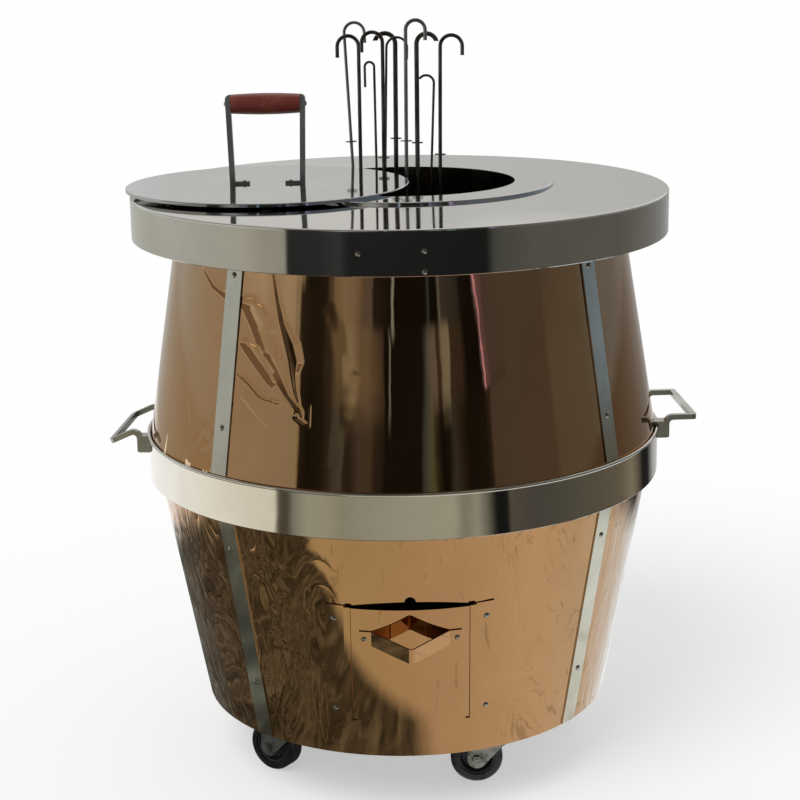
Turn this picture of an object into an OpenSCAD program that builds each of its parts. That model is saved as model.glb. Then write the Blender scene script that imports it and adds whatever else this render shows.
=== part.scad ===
// Drum tandoor on castors: a clay fire pot packed in insulation inside a
// barrel-shaped sheet metal cabinet, with a flat top deck, a loose lid,
// a sliding draught door, two carrying handles and a set of skewers.
// Origin: on the floor under the cabinet's axis. +Z up, the draught door faces -Y.

/* [Cabinet] */
// Diameter of the top deck
deck_d = 813; // [800:1:830]
// Height of the deck's top face above the floor
deck_z = 895; // [893:1:901]
// Height of the skirt that hangs from the deck's edge
skirt_h = 63; // [55:1:68]
// Diameter of the upper cladding at the skirt's lower edge
shoulder_d = 684; // [676:1:692]
// Diameter of the upper cladding where the belt covers it
belly_d = 783; // [781:1:784]
// Outer diameter of the belt
belt_d = 792; // [791:1:794]
// Height of the belt
belt_h = 68; // [64:1:72]
// Height of the belt's lower edge above the floor
belt_z = 462; // [459:1:465]
// Diameter of the lower cladding under the belt
waist_d = 762; // [758:1:764]
// Diameter of the lower cladding at its bottom edge
foot_d = 634; // [632:1:640]
// Height of the cladding's bottom edge above the floor
foot_z = 105; // [103:1:107]
// Thickness of the cladding, skirt and belt sheets
sheet = 2; // [1.5:0.1:2.4]
// Width of the straps over the cladding's seams
strap_w = 30; // [24:1:36]

/* [Mouth and pot] */
// Inner radius of the mouth
mouth_r = 170; // [168:1:172]
// Width of the flat ring round the mouth
ring_w = 60; // [50:1:70]
// Thickness of the flat ring
ring_t = 4; // [3:0.5:5]
// How far the mouth is set to the right of the cabinet's axis
mouth_x = 8; // [6:1:10]
// How far the mouth is set behind the cabinet's axis
mouth_y = 42; // [40:1:44]
// Wall thickness of the clay pot
pot_wall = 32; // [26:1:36]

/* [Lid] */
// Diameter of the lid
lid_d = 429; // [427:1:430]
// Height of the lid's turned-down rim
lid_rim = 5; // [4:0.5:6]
// Height of the grip's centre above the lid
grip_rise = 120; // [100:1:140]
// Radius of the wooden grip at its middle
grip_r = 16; // [14:0.5:18]

/* [Draught door] */
// Turn of the door from the front
door_turn = 1; // [0:0.5:2]
// Width of the sliding door plate
door_w = 180; // [176:1:182]
// Length of the door plate along the cladding
door_l = 186; // [176:1:190]
// Height of the door's lower edge above the floor
door_z = 166; // [164:1:169]
// How far the strap handle stands out
door_pull = 46; // [40:1:54]

/* [Handles] */
// Distance of the handles' crossbars from the cabinet's axis
handle_reach = 449; // [440:1:458]
// Length of a handle's crossbar
handle_w = 163; // [150:1:176]
// Height at which the left handle's bar bends outward
handle_left_z = 517; // [514:1:522]
// Height at which the right handle's bar bends outward
handle_right_z = 530; // [524:1:534]
// How far the left handle's frame droops
handle_droop = 24; // [0:1:30]

/* [Castors] */
// Diameter of the wheels
wheel_d = 80; // [78:1:81]
// Width of the tyres
wheel_w = 32; // [28:1:33]
// Distance of the swivel pins from the cabinet's axis
castor_r = 226; // [220:1:230]
// Trail of the wheel's axle behind its swivel pin
trail = 38; // [34:1:39]

/* [Skewers] */
// Backward lean of the skewers against the mouth's rear edge
skewer_lean = 4; // [3.5:0.25:4.5]
// Radius of the stop discs
stop_r = 9; // [7:0.5:9]

/* [Hidden] */

$fn = 96;
brass = "#b98a5c";
steel = "#c9cbcc";
zinc = "#8d9092";
black = "#1d1d1d";

// Cabinet levels and radii
deck_r = deck_d / 2;
deck_t = 4;
skirt_z = deck_z - skirt_h;
belt_top = belt_z + belt_h;
belt_r = belt_d / 2;
ring_z = deck_z + ring_t;
seam_turns = [-42, 50, 138, 230];

// Radii of the two cladding cones at a height z
function low_r(z) = foot_d / 2 + (waist_d - foot_d) / 2 * (z - foot_z) / (belt_z - foot_z);
function up_r(z) = belly_d / 2 + (shoulder_d - belly_d) / 2 * (z - belt_top) / (skirt_z - belt_top);
low_lean = atan((waist_d - foot_d) / 2 / (belt_z - foot_z));
up_lean = atan((belly_d - shoulder_d) / 2 / (skirt_z - belt_top));
up_bottom = belt_top - 7;
up_top = deck_z - deck_t;
low_top = belt_z + 4;

// Points of an arc of radius r about [x, z], from angle a to angle b
function arc(x, z, r, a, b, n = 6) = [for (i = [0:n]) [x + r * cos(a + (b - a) * i / n),
  z + r * sin(a + (b - a) * i / n)]];

// A cone frustum between two heights
module frustum(z0, r0, z1, r1) {
  translate([0, 0, z0]) cylinder(h = z1 - z0, r1 = r0, r2 = r1);
}

// Solid inside the lower or upper cladding's outer face, moved out by t
module low_cone(z0, z1, t = 0) {
  frustum(z0, low_r(z0) + t, z1, low_r(z1) + t);
}

module up_cone(z0, z1, t = 0) {
  frustum(z0, up_r(z0) + t, z1, up_r(z1) + t);
}

// Round rivet or screw head of diameter d and height h, standing on its base along +Z
module dome(d, h) {
  cap_r = (d * d / 4 + h * h) / (2 * h);
  intersection() {
    translate([0, 0, h - cap_r]) sphere(cap_r);
    cylinder(h = h, r = d);
  }
}

// Children stand on the lower or upper cladding's face, +Z pointing away from it
module on_low(turn, z, t = 0) {
  rotate([0, 0, turn]) translate([0, -low_r(z) - t / cos(low_lean), z]) rotate([90 + low_lean, 0, 0])
    children();
}

module on_up(turn, z, t = 0) {
  rotate([0, 0, turn]) translate([0, -up_r(z) - t / cos(up_lean), z]) rotate([90 - up_lean, 0, 0])
    children();
}

// ---------- base and castor mountings ----------
base_z = 108;
base_t = 4;
castor_turns = [for (i = [0:3]) 90 * i - 50.5];
// Rest directions of the four trailing wheels, counted from +X
trail_turns = [145, 180, 30, 250];
plate_w = 76;
plate_t = 3;
bolt_at = 29;
bolt_r = 4;
pin_r = 5;
race_z = 97;
fork_top = 96.6;
crown_z = 84;
crown_t = 3;

module at_castor(i) {
  rotate([0, 0, castor_turns[i]]) translate([0, -castor_r, 0]) children();
}

// Places for the four bolts of each castor plate
module each_bolt() {
  for (i = [0:3]) at_castor(i)
    for (sx = [-1, 1], sy = [-1, 1]) translate([sx * bolt_at, sy * bolt_at, 0]) children();
}

module base_plate() {
  color(zinc) difference() {
    low_cone(base_z, base_z + base_t, -sheet);
    each_bolt() translate([0, 0, base_z - 1]) cylinder(h = base_t + 2, r = bolt_r);
  }
}

module castor_plates() {
  color(zinc) for (i = [0:3]) at_castor(i) {
    difference() {
      union() {
        translate([-plate_w / 2, -plate_w / 2, base_z - plate_t]) cube([plate_w, plate_w, plate_t]);
        translate([0, 0, race_z]) cylinder(h = base_z - plate_t - race_z, r = 28);
      }
      for (sx = [-1, 1], sy = [-1, 1]) translate([sx * bolt_at, sy * bolt_at, base_z - 5])
        cylinder(h = 7, r = bolt_r);
    }
    translate([0, 0, crown_z - 6]) cylinder(h = race_z - crown_z + 8, r = pin_r);
    translate([0, 0, crown_z - 6.4]) cylinder(h = 6, r = 8.5, $fn = 6);
  }
}

module castor_bolts() {
  color(zinc) each_bolt() {
    translate([0, 0, base_z - plate_t]) cylinder(h = plate_t + base_t, r = bolt_r);
    translate([0, 0, base_z - plate_t - 5]) cylinder(h = 5, r = 7.5, $fn = 6);
  }
}

// ---------- fire pot, insulation and air duct ----------
slab_z = base_z + base_t;
pot_z = 156;
pot_floor = 186;
pot_top = 887;
pot_foot_r = 205;
pot_neck_r = mouth_r + 3;
pot_bulge = 45;
pot_steps = 22;
duct_w = 180;
duct_z = 199;
duct_top = 375;
vent_r = 55;
vent_z = 290;

// Inner radius of the pot, from u = 0 at its floor to u = 1 at its top
function pot_r(u) = pot_neck_r + (pot_foot_r - pot_neck_r) * (1 - u) + pot_bulge * sin(180 * u);
function pot_level(u) = pot_floor + (pot_top - pot_floor) * u;
function pot_side(t) = [for (i = [0:pot_steps]) [pot_r(i / pot_steps) + t, pot_level(i / pot_steps)]];

// Solid inside the pot's inner wall moved out by t, down to z
module pot_body(t, z) {
  translate([mouth_x, mouth_y, 0]) rotate_extrude()
    polygon(concat([[0, z], [pot_r(0) + t, z]], pot_side(t), [[0, pot_top]]));
}

module hearth_slab() {
  color("#9a938a") low_cone(slab_z, pot_z, -sheet - 0.6);
}

module clay_pot() {
  color("#a8674a") difference() {
    pot_body(pot_wall, pot_z);
    pot_body(0, pot_floor);
    translate([mouth_x, mouth_y, pot_top - 1]) cylinder(h = 2, r = pot_neck_r);
    rotate([0, 0, door_turn]) {
      translate([-vent_r, -400, duct_z]) cube([2 * vent_r, 400, vent_z - duct_z]);
      translate([0, 0, vent_z]) rotate([90, 0, 0]) cylinder(h = 400, r = vent_r);
    }
  }
}

// Block of the duct's outline, grown by t on its four sides
module duct_block(t) {
  rotate([0, 0, door_turn]) translate([-duct_w / 2 - t, -400, duct_z - t])
    cube([duct_w + 2 * t, 400, duct_top - duct_z + 2 * t]);
}

module draught_duct() {
  color(zinc) difference() {
    intersection() {
      duct_block(sheet);
      low_cone(duct_z - 10, duct_top + 10, -sheet);
    }
    duct_block(0);
    pot_body(pot_wall + 0.3, pot_z);
  }
}

module insulation_fill() {
  color("#d8cfa8") difference() {
    union() {
      low_cone(pot_z, low_top - 1, -sheet - 0.6);
      translate([0, 0, low_top - 1]) cylinder(h = up_bottom - low_top + 2, r = 372);
      up_cone(up_bottom + 1, pot_top, -sheet - 0.6);
    }
    pot_body(pot_wall + 0.4, pot_z - 1);
    translate([mouth_x, mouth_y, pot_top - 2]) cylinder(h = 4, r = pot_neck_r + pot_wall + 0.4);
    duct_block(sheet + 0.4);
  }
}

// ---------- cladding, belt and straps ----------
slot_r = 400;
slot_rise = 12;
slot_half = 97;
open_half = 74;
open_z = 35;

// Children stand in the door's own frame: x across, z up along the cladding, y inward
module at_door() {
  rotate([0, 0, door_turn]) translate([0, -low_r(door_z), door_z]) rotate([low_lean, 0, 0])
    children();
}

// The opening behind the door, with its arched top and thumb notch
module draught_opening() {
  at_door() {
    translate([-open_half, -30, open_z]) cube([2 * open_half, 70, door_l - open_z]);
    intersection() {
      translate([0, 40, door_l + slot_rise - slot_r]) rotate([90, 0, 0]) cylinder(h = 70, r = slot_r);
      translate([-slot_half, -30, door_l - 1]) cube([2 * slot_half, 70, slot_rise + 2]);
    }
    translate([0, 40, door_l + slot_rise]) rotate([90, 0, 0]) cylinder(h = 70, r = 8);
  }
}

module lower_cladding() {
  color(brass) difference() {
    union() {
      difference() {
        low_cone(foot_z, low_top);
        low_cone(foot_z - 1, low_top + 1, -sheet);
      }
      difference() {
        low_cone(foot_z, foot_z + 3, -sheet / 2);
        translate([0, 0, foot_z - 1]) cylinder(h = 6, r = foot_d / 2 - 5);
      }
    }
    draught_opening();
  }
}

module upper_cladding() {
  color(brass) difference() {
    up_cone(up_bottom, up_top);
    up_cone(up_bottom - 1, up_top + 1, -sheet);
  }
}

// Rolled channel that joins the two claddings behind the belt
module belly_hoop() {
  inner = belt_r - sheet;
  color(zinc) rotate_extrude() polygon([[waist_d / 2 - 4, low_top], [inner, low_top],
    [inner, up_bottom], [belly_d / 2 - 5, up_bottom], [belly_d / 2 - 5, up_bottom - 3],
    [inner - 3, up_bottom - 3], [inner - 3, low_top + 3], [waist_d / 2 - 4, low_top + 3]]);
}

// Flat band with a rolled bead on its top edge and a lip turned in under it
module belly_belt() {
  bead = 2.6;
  inner = belt_r - sheet;
  lip_r = low_r(belt_z + sheet) + 0.15;
  color(steel) rotate_extrude() polygon(concat([[lip_r, belt_z], [belt_r - 1, belt_z],
    [belt_r, belt_z + 1]], arc(belt_r - 0.6, belt_top - bead, bead, -75, 180, 12),
    [[inner - 1.2, belt_top - bead - 1.2], [inner, belt_top - bead - 2.4], [inner, belt_z + sheet],
    [lip_r, belt_z + sheet]]));
}

module lower_straps() {
  color(steel) for (turn = seam_turns) intersection() {
    difference() {
      low_cone(foot_z + 1, belt_z - 0.4, sheet);
      low_cone(foot_z, belt_z);
    }
    rotate([0, 0, turn]) translate([-strap_w / 2, -500, 0]) cube([strap_w, 500, 600]);
  }
}

module upper_straps() {
  color(steel) for (turn = seam_turns) intersection() {
    difference() {
      up_cone(belt_top + 0.6, up_top - 1, sheet);
      up_cone(belt_top, up_top);
    }
    rotate([0, 0, turn]) translate([-strap_w / 2, -500, 0]) cube([strap_w, 500, 900]);
  }
}

module strap_rivets() {
  color(steel) for (turn = seam_turns) {
    for (z = [197, 415]) on_low(turn, z, sheet) dome(9, 2.6);
    for (z = [597, 811]) on_up(turn, z, sheet) dome(9, 2.6);
  }
}

// ---------- deck ----------
module rim_skirt() {
  color(steel) rotate_extrude() polygon([[deck_r - 4, skirt_z], [deck_r - 0.8, skirt_z],
    [deck_r, skirt_z + 0.8], [deck_r, deck_z - deck_t], [deck_r - sheet, deck_z - deck_t],
    [deck_r - sheet, skirt_z + 5], [deck_r - 4, skirt_z + 5]]);
}

module skirt_rivets() {
  color(steel) for (p = [[4.5, 866], [4.5, 838], [-7.9, 863], [184.5, 866], [184.5, 838]])
    rotate([0, 0, p[0]]) translate([0, -deck_r, p[1]]) rotate([90, 0, 0]) dome(7, 1.6);
}

module top_deck() {
  edge = 2.5;
  color(steel) difference() {
    rotate_extrude() polygon(concat([[0, deck_z - deck_t], [deck_r, deck_z - deck_t]],
      arc(deck_r - edge, deck_z - edge, edge, 0, 90), [[0, deck_z]]));
    translate([mouth_x, mouth_y, deck_z - 10]) cylinder(h = 20, r = mouth_r + sheet);
  }
}

module mouth_ring() {
  r = mouth_r + sheet;
  edge = 1.4;
  color(steel) translate([mouth_x, mouth_y, 0]) rotate_extrude() polygon(concat([[r, deck_z],
    [mouth_r + ring_w, deck_z]], arc(mouth_r + ring_w - edge, ring_z - edge, edge, 0, 90, 4),
    [[r, ring_z]]));
}

// Steel collar that lines the pot's neck, hung from a flange under the deck
module mouth_throat() {
  flange_z = deck_z - deck_t;
  color(steel) translate([mouth_x, mouth_y, 0]) rotate_extrude() polygon([[mouth_r, 811],
    [mouth_r + sheet, 811], [mouth_r + sheet, flange_z - 2], [mouth_r + 24, flange_z - 2],
    [mouth_r + 24, flange_z], [mouth_r + sheet, flange_z], [mouth_r + sheet, ring_z],
    [mouth_r, ring_z]]);
}

// ---------- carrying handles ----------
bar = 9;
bar_t = 8;
bar_bend = 10;
handle_turns = [4, 5];
foot_w = 22;
foot_x = belt_r + 2.4 + bar_t / 2;

// Everything inside the cladding's and belt's outer faces near the belt, with a fine gap
module belly_envelope() {
  low_cone(330, belt_z);
  translate([0, 0, belt_z]) cylinder(h = belt_h - 4, r = belt_r + 0.2);
  translate([0, 0, belt_top - 6]) cylinder(h = 6.2, r = belt_r + 2.2);
  up_cone(belt_top, 720, 0.2);
}

// Middle line of a leg in its upright plane: up the foot, then bent out and drooping
function leg_path(z, droop) = concat([[foot_x, z - 21]],
  arc(foot_x + bar_bend, z, bar_bend, 180, 90 - droop, 8),
  [[foot_x + bar_bend + bar_bend * sin(droop) + 12 * cos(droop),
    z + bar_bend * cos(droop) - 12 * sin(droop)]]);

// Flat frame of the two legs' outer lengths and the crossbar, len long from the bends
module handle_frame(len) {
  half = handle_w / 2;
  c = 6;
  translate([0, 0, -bar_t / 2]) linear_extrude(bar_t) polygon(concat([[0, -half], [len - c, -half]],
    arc(len - c, c - half, c, -60, -30, 2), [[len, c - half], [len, half - c]],
    arc(len - c, half - c, c, 30, 60, 2), [[len - c, half], [0, half], [0, half - bar],
    [len - bar, half - bar], [len - bar, bar - half], [0, bar - half]]));
}

// One handle on the +X side: feet on the belt and cladding, bent legs and a crossbar
module side_handle(z, droop, turn) {
  leg_y = handle_w / 2 - bar / 2;
  end_x = foot_x + bar_bend + bar_bend * sin(droop);
  color(steel) rotate([0, 0, turn]) union() {
    for (s = [-1, 1]) {
      translate([0, s * leg_y + bar / 2, 0]) rotate([90, 0, 0]) linear_extrude(bar)
        polygon(ribbon(leg_path(z, droop), bar_t));
      difference() {
        translate([belt_r - 20, s * (leg_y - foot_w / 2 + bar / 2) - foot_w / 2, z - 22])
          cube([foot_x + 2 - belt_r + 20, foot_w, 26]);
        belly_envelope();
      }
    }
    translate([end_x, 0, z + bar_bend * cos(droop)]) rotate([0, droop, 0])
      handle_frame((handle_reach - end_x) / cos(droop));
  }
}

module side_handle_right() {
  side_handle(handle_right_z, 0, handle_turns[0]);
}

module side_handle_left() {
  mirror([1, 0, 0]) side_handle(handle_left_z, handle_droop, handle_turns[1]);
}

module foot_rivets(z, turn) {
  rotate([0, 0, turn]) for (s = [-1, 1], dz = [-2, -15])
    translate([foot_x + 2, s * (handle_w / 2 - foot_w + 6.5), z + dz]) rotate([0, 90, 0]) dome(8, 2.6);
}

module handle_rivets() {
  color(steel) {
    foot_rivets(handle_right_z, handle_turns[0]);
    mirror([1, 0, 0]) foot_rivets(handle_left_z, handle_turns[1]);
  }
}

// ---------- draught door ----------
door_arc = 390;
door_gap = 1;
door_t = 2;
guide_lip = 85;
guide_in = 91.2;
guide_out = 120;

// Children stand at the centre of the door plate's curve, in the door's frame
module at_door_arc() {
  at_door() translate([0, door_arc - door_gap, 0]) children();
}

// A bent strip along the door: radii r0 to r1, from x0 to x1 across, length l from z
module curved_strip(r0, r1, x0, x1, z, l) {
  at_door_arc() intersection() {
    translate([0, 0, z]) difference() {
      cylinder(h = l, r = r1, $fn = 160);
      translate([0, 0, -1]) cylinder(h = l + 2, r = r0, $fn = 160);
    }
    translate([x0, -door_arc - 20, z - 1]) cube([x1 - x0, 120, l + 2]);
  }
}

module draught_door() {
  color(brass) curved_strip(door_arc, door_arc + door_t, -door_w / 2, door_w / 2, 0, door_l);
}

// Riveted foot on the cladding, a web beside the door and a lip over the door's edge
module door_guide(s) {
  lip_r = door_arc + door_t + 0.6;
  color(brass) union() {
    intersection() {
      difference() {
        low_cone(door_z - 20, door_z + door_l + 20, sheet);
        low_cone(door_z - 21, door_z + door_l + 21);
      }
      at_door() translate([s > 0 ? guide_in : -guide_out, -60, 0])
        cube([guide_out - guide_in, 120, door_l + 2]);
    }
    difference() {
      union() {
        curved_strip(door_arc - 14, lip_r + 1.6, s > 0 ? guide_in : -guide_in - 3,
          s > 0 ? guide_in + 3 : -guide_in, -4, door_l + 6);
        curved_strip(lip_r, lip_r + 1.6, s > 0 ? guide_lip : -guide_in - 1,
          s > 0 ? guide_in + 1 : -guide_lip, 0, door_l + 2);
        curved_strip(door_arc - 14, lip_r + 1.6, s > 0 ? guide_lip - 6 : -guide_in - 3,
          s > 0 ? guide_in + 3 : -guide_lip + 6, -4, 3.8);
      }
      low_cone(door_z - 40, door_z + door_l + 40);
    }
  }
}

module guide_rivets() {
  across = 108;
  color(steel) for (s = [-1, 1], z = [182, 331]) {
    turn = door_turn + s * asin(across / low_r(z));
    on_low(turn, z, sheet) dome(9, 2.6);
  }
}

// Bent strap: two riveted feet, two sloping arms and a round knuckle
pull_z = 139;
pull_h = 23;
pull_t = 2.2;
foot_at = 64;
foot_half = 9;
knuckle_r = 9;

// Points of the pull's middle line from the right foot round the knuckle to the left foot
pull_face = door_arc + door_t;
foot_turn = asin(foot_at / pull_face);
function turned(p, a) = [p[0] * cos(a) - p[1] * sin(a), p[0] * sin(a) + p[1] * cos(a)];
function pull_path() = let (
  tip = turned([foot_half, -pull_face - pull_t / 2], foot_turn),
  heel = turned([-foot_half, -pull_face - pull_t / 2], foot_turn),
  eye = [0, -pull_face - door_pull + knuckle_r],
  r = knuckle_r - pull_t / 2,
  d = heel - eye,
  a = atan2(d[1], d[0]) - acos(r / norm(d))
) concat([tip, heel], arc(eye[0], eye[1], r, a, -180 - a, 12), [[-heel[0], heel[1]], [-tip[0], tip[1]]]);

// Outline of a strip of thickness t along a path, with mitred bends
function unit(v) = v / norm(v);
function side_at(path, i) = let (
  a = unit(path[max(i, 1)] - path[max(i, 1) - 1]),
  b = unit(path[min(i, len(path) - 2) + 1] - path[min(i, len(path) - 2)]),
  m = unit(a + b)
) [-m[1], m[0]] / (m * a);
function ribbon(path, t) = concat([for (i = [0:len(path) - 1]) path[i] + side_at(path, i) * t / 2],
  [for (i = [len(path) - 1:-1:0]) path[i] - side_at(path, i) * t / 2]);

module door_pull_strap() {
  color(brass) at_door_arc() translate([0, 0, pull_z - pull_h / 2]) linear_extrude(pull_h)
    polygon(ribbon(pull_path(), pull_t));
}

module door_rivets() {
  color(steel) at_door_arc() for (s = [-1, 1]) rotate([0, 0, s * foot_turn])
    translate([s * 2, -pull_face - pull_t, pull_z]) rotate([90, 0, 0]) dome(8, 2.4);
}

// ---------- lid ----------
lid_x = -199.5;
lid_y = -1;
lid_z = ring_z + lid_rim;
leg_top = 56;
leg_foot = 53;
leg_x = 8;
leg_y = 12;
leg_lean = atan((leg_top - leg_foot) / grip_rise);

module at_lid() {
  translate([lid_x, lid_y, lid_z]) children();
}

module lid_plate() {
  r = lid_d / 2;
  edge = 1.6;
  color(steel) translate([lid_x, lid_y, 0]) rotate_extrude() polygon(concat([[0, lid_z - 2],
    [r - 2, lid_z - 2], [r - 2, ring_z], [r, ring_z]], arc(r - edge, lid_z - edge, edge, 0, 90, 4),
    [[0, lid_z]]));
}

// Blank of one leg with a rounded top, leaning outward as it rises
module leg_blank() {
  half = leg_x / 2;
  top = grip_rise + 14;
  translate([leg_foot, leg_y / 2, 0]) rotate([0, leg_lean, 0]) rotate([90, 0, 0])
    linear_extrude(leg_y) polygon(concat([[-half, -2], [half, -2]],
      arc(-half + 1, top - leg_x + 1, leg_x - 1, 0, 90, 6), [[-half, top]]));
}

module lid_legs() {
  foot_l = 30;
  color(steel) at_lid() for (s = [0, 1]) mirror([s, 0, 0]) {
    difference() {
      leg_blank();
      translate([0, -20, -10]) cube([100, 40, 10]);
    }
    translate([leg_foot - leg_x / 2 - foot_l + 8, 0.5 - leg_y / 2, 0]) cube([foot_l, leg_y - 1, 4]);
  }
}

module lid_grip() {
  half = leg_top - 1;
  end_r = grip_r - 2;
  bow_r = (half * half + 4) / 4;
  color("#6b2318") at_lid() difference() {
    translate([0, 0, grip_rise]) rotate([0, 90, 0]) rotate_extrude() polygon(concat([[0, -half]],
      [for (i = [0:12]) let (x = -half + 2 * half * i / 12)
        [grip_r - bow_r + sqrt(bow_r * bow_r - x * x), x]], [[0, half]]));
    for (s = [0, 1]) mirror([s, 0, 0]) translate([leg_foot, 0, 0]) rotate([0, leg_lean, 0])
      translate([-leg_x / 2, -30, grip_rise - 40]) cube([20, 60, 80]);
  }
}

module lid_screws() {
  rise = grip_rise / cos(leg_lean);
  color(zinc) at_lid() for (s = [0, 1]) mirror([s, 0, 0]) {
    translate([leg_foot, 0, 0]) rotate([0, leg_lean, 0]) translate([leg_x / 2, 0, rise])
      rotate([0, 90, 0]) dome(9, 2.6);
    translate([leg_foot - leg_x / 2 - 14, 0, 4]) dome(7, 2);
  }
}

// ---------- skewers ----------
// Each row: x and y at the deck's level, height of the hook's top above the deck,
// side that the hook opens to, hook radius, length of the hook's tip below the bend's
// centre (negative where the bend stops short), rod diameter, height of the stop disc
// above the deck (0 for none), sideways lean in degrees
skewers = [
  [-74, 186, 239, 1, 16, 17, 5, 49, -2.7],
  [-61.5, 172.5, 220, -1, 17, 17, 6, 0, 0],
  [-36, 168, 178, -1, 7.5, 32, 4, 0, -0.4],
  [-24, 158, 226, -1, 16.5, 15, 6, 26, 0.2],
  [-4.5, 186, 223, -1, 16.5, -5, 7.5, 53, 0.4],
  [-22, 175, 216, 1, 16.5, 18, 4, 0, 1.4],
  [12, 157, 244, 1, 15.5, 16, 6, 52, 0.4],
  [30, 165, 223, 1, 16, -4, 7.5, 48, 0.2],
  [52.5, 187, 154, -1, 12.5, -6, 4, 0, 2.3],
  [66, 157, 220, 1, 17.5, 14, 6, 30, 0.6]];
// Height of the skewers' points above the deck's level (below it, so negative)
point_z = -694;

// One skewer: pointed rod, stop disc and hooked top
module skewer(k) {
  bend = k[4];
  r = k[6] / 2;
  top = k[2] - bend - r;
  taper = 26;
  translate([k[0], k[1], deck_z]) rotate([-skewer_lean, k[8], 0]) mirror([k[3] < 0 ? 1 : 0, 0, 0]) {
    translate([0, 0, point_z]) cylinder(h = taper, r1 = 0.6, r2 = r, $fn = 32);
    translate([0, 0, point_z + taper]) cylinder(h = top - point_z - taper, r = r, $fn = 32);
    difference() {
      translate([bend, 0, top]) rotate([90, 0, 0]) rotate_extrude(angle = 180, $fn = 64)
        translate([bend, 0]) circle(r, $fn = 32);
      if (k[5] < 0) translate([bend + 1, -10, top - 1]) cube([bend + 10, 20, 1 - k[5]]);
    }
    if (k[5] > 0) translate([2 * bend, 0, top - k[5]]) cylinder(h = k[5], r = r, $fn = 32);
    if (k[7] > 0) translate([0, 0, k[7] - 1]) cylinder(h = 2, r = stop_r, $fn = 48);
  }
}

module skewer_part(i) {
  color(i % 3 == 0 ? steel : "#3a3836") skewer(skewers[i]);
}

// ---------- castors ----------
axle_z = wheel_d / 2;
axle_r = 4;
ear_in = 18.5;
ear_t = 3;
lobe_r = 14.5;
hub_half = 18;
rim_r = 28;

// Children stand at castor i, turned so that +X is the direction of its trail
module at_swivel(i) {
  a = castor_turns[i];
  translate([castor_r * sin(a), -castor_r * cos(a), 0]) rotate([0, 0, trail_turns[i]]) children();
}

// One ear's outline: a broad leg from the crown down to a round lobe at the axle
module fork_ear() {
  rotate([90, 0, 0]) translate([0, 0, -ear_t / 2]) difference() {
    union() {
      linear_extrude(ear_t) polygon([[-22, crown_z + crown_t], [42, crown_z + crown_t], [50, 72],
        [trail + lobe_r, axle_z + 6], [trail + lobe_r - 1, axle_z - 4], [trail - 9, axle_z - 11],
        [trail - 40, axle_z + 22], [-18, 72]]);
      translate([trail, axle_z, 0]) cylinder(h = ear_t, r = lobe_r);
    }
    translate([trail, axle_z, -1]) cylinder(h = ear_t + 2, r = axle_r);
  }
}

module castor_fork(i) {
  color(zinc) at_swivel(i) {
    difference() {
      union() {
        translate([-22, -ear_in - ear_t, crown_z]) cube([64, 2 * (ear_in + ear_t), crown_t]);
        translate([0, 0, crown_z + crown_t]) cylinder(h = fork_top - crown_z - crown_t, r1 = 21, r2 = 26);
        for (s = [-1, 1]) translate([0, s * (ear_in + ear_t / 2), 0]) fork_ear();
      }
      translate([0, 0, crown_z - 10]) cylinder(h = 40, r = pin_r + 0.1);
    }
  }
}

// Bolt through both ears with a hexagon head and nut
module castor_axle(i) {
  out = ear_in + ear_t;
  color(zinc) at_swivel(i) translate([trail, 0, axle_z]) rotate([90, 0, 0]) {
    translate([0, 0, -out - 7]) cylinder(h = 2 * out + 10, r = axle_r);
    translate([0, 0, out]) cylinder(h = 4, r = 7.5, $fn = 6);
    translate([0, 0, -out - 5]) cylinder(h = 5, r = 7.5, $fn = 6);
  }
}

module wheel_hub(i) {
  color("#4a4c4e") at_swivel(i) translate([trail, 0, axle_z]) rotate([90, 0, 0]) rotate_extrude()
    polygon([[axle_r + 0.1, -hub_half], [9, -hub_half], [10, -hub_half + 4], [12, -4], [22, -4],
      [25, -wheel_w / 2 + 4], [rim_r, -wheel_w / 2 + 3], [rim_r, wheel_w / 2 - 3],
      [25, wheel_w / 2 - 4], [22, 4], [12, 4], [10, hub_half - 4], [9, hub_half],
      [axle_r + 0.1, hub_half]]);
}

// Solid tyre with rounded shoulders
module tyre(i) {
  shoulder = 6;
  half = wheel_w / 2;
  r = wheel_d / 2;
  color(black) at_swivel(i) translate([trail, 0, axle_z]) rotate([90, 0, 0]) rotate_extrude()
    polygon(concat([[rim_r, -half]], arc(r - shoulder, -half + shoulder, shoulder, -90, 0),
      arc(r - shoulder, half - shoulder, shoulder, 0, 90), [[rim_r, half]]));
}

// ---------- selection ----------
base_plate();
castor_plates();
castor_bolts();
hearth_slab();
insulation_fill();
clay_pot();
draught_duct();
lower_cladding();
upper_cladding();
belly_hoop();
belly_belt();
lower_straps();
upper_straps();
strap_rivets();
rim_skirt();
skirt_rivets();
top_deck();
mouth_ring();
mouth_throat();
side_handle_left();
side_handle_right();
handle_rivets();
door_guide(-1);  // door_guide_left
door_guide(1);  // door_guide_right
guide_rivets();
lid_plate();
lid_legs();
lid_grip();
lid_screws();
draught_door();
door_pull_strap();
door_rivets();
skewer_part(0);  // skewer_01
skewer_part(1);  // skewer_02
skewer_part(2);  // skewer_03
skewer_part(3);  // skewer_04
skewer_part(4);  // skewer_05
skewer_part(5);  // skewer_06
skewer_part(6);  // skewer_07
skewer_part(7);  // skewer_08
skewer_part(8);  // skewer_09
skewer_part(9);  // skewer_10
castor_fork(0);  // castor_fork_1
castor_fork(1);  // castor_fork_2
castor_fork(2);  // castor_fork_3
castor_fork(3);  // castor_fork_4
castor_axle(0);  // castor_axle_1
castor_axle(1);  // castor_axle_2
castor_axle(2);  // castor_axle_3
castor_axle(3);  // castor_axle_4
wheel_hub(0);  // wheel_hub_1
wheel_hub(1);  // wheel_hub_2
wheel_hub(2);  // wheel_hub_3
wheel_hub(3);  // wheel_hub_4
tyre(0);  // tyre_1
tyre(1);  // tyre_2
tyre(2);  // tyre_3
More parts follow.
